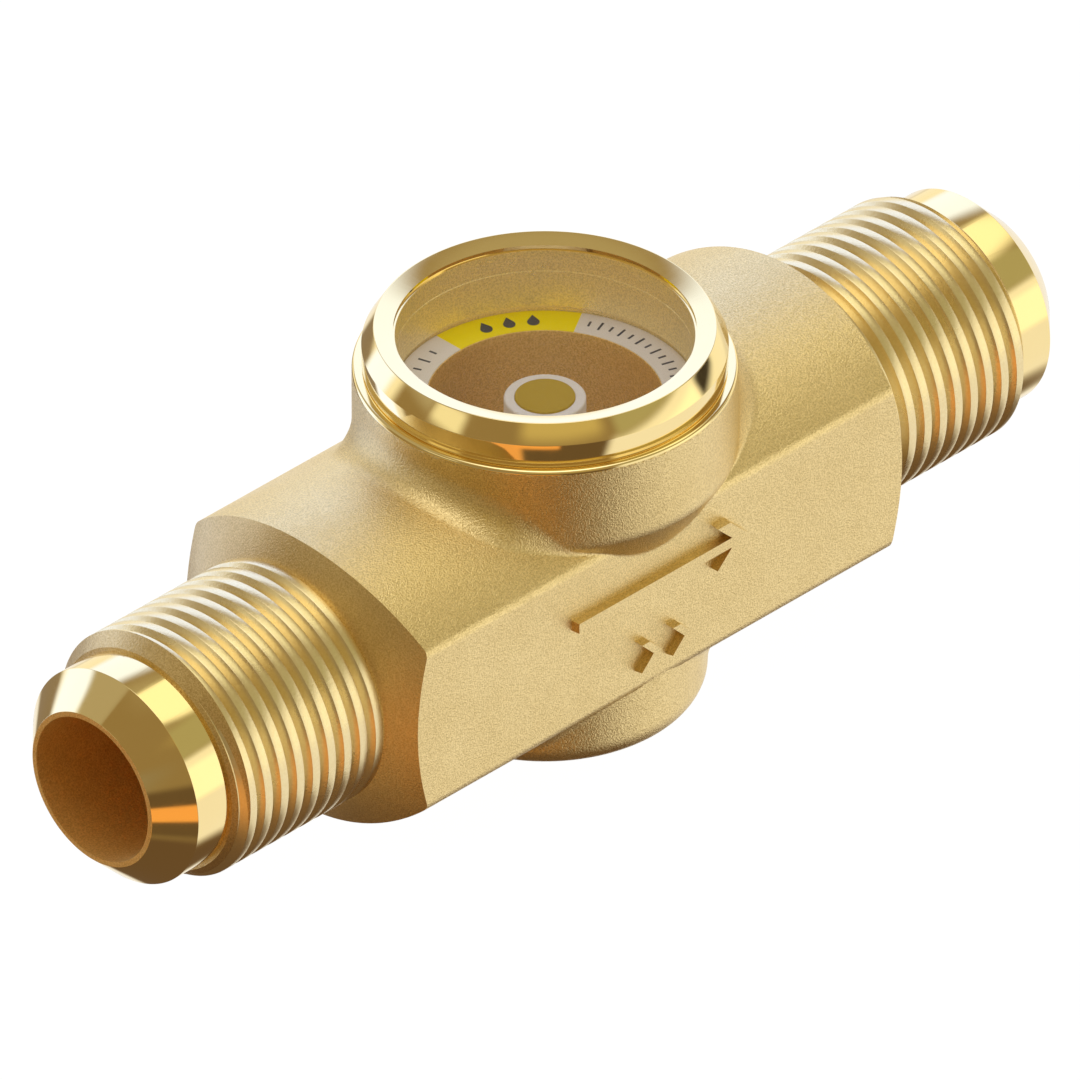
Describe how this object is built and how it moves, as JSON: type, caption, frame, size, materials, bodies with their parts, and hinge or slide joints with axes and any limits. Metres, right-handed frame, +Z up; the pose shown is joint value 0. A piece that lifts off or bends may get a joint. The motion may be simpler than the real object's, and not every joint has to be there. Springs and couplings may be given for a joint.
{
  "type": "sight glass",
  "caption": "Brass inline sight glass: male flare threads at both ends, wrench flats, and a round window over a printed dial and a moisture element on a post.",
  "frame": {"origin": "centre of the foot's resting face, under the middle of the part", "axes": "+X along the flow, inlet at -X and outlet at +X; +Z up out of the window; the marked wrench flat faces -Y"},
  "size_m": [0.1046, 0.0318, 0.0353],
  "materials": {
    "forged_brass": "satin",
    "polished_brass": "polished",
    "clear_glass": "polished",
    "seal_rubber": "matte",
    "washer_steel": "satin",
    "gasket_plastic": "matte",
    "dial_paint": "satin",
    "post_plastic": "matte",
    "element_olive": "matte",
    "wick_felt": "matte"
  },
  "bodies": {
    "housing": {"body": "forged_brass", "face_gasket": "gasket_plastic", "dial_seat_washer": "seal_rubber", "indicator_dial": "dial_paint", "indicator_post": "post_plastic", "indicator_element": "element_olive", "element_wick": "wick_felt", "post_seat_washer": "washer_steel"},
    "slip": {"slip_washer": "washer_steel"},
    "window_cartridge": {"retaining_ring": "polished_brass", "sight_glass": "clear_glass", "ring_o_ring": "seal_rubber"}
  },
  "joints": [
    {"name": "ring_lift", "type": "slide", "parent": "housing", "child": "slip", "axis": [0, 0, 1], "range_m": [0, 0.0038]},
    {"name": "ring_turn", "type": "hinge", "parent": "slip", "child": "window_cartridge", "pos_m": [0, 0, 0], "axis": [0, 0, 1], "range_deg": [0, 1368]}
  ],
  "couplings": [
    {"joint": "ring_lift", "follows": "ring_turn", "m_per_rad": 0.00015915}
  ]
}
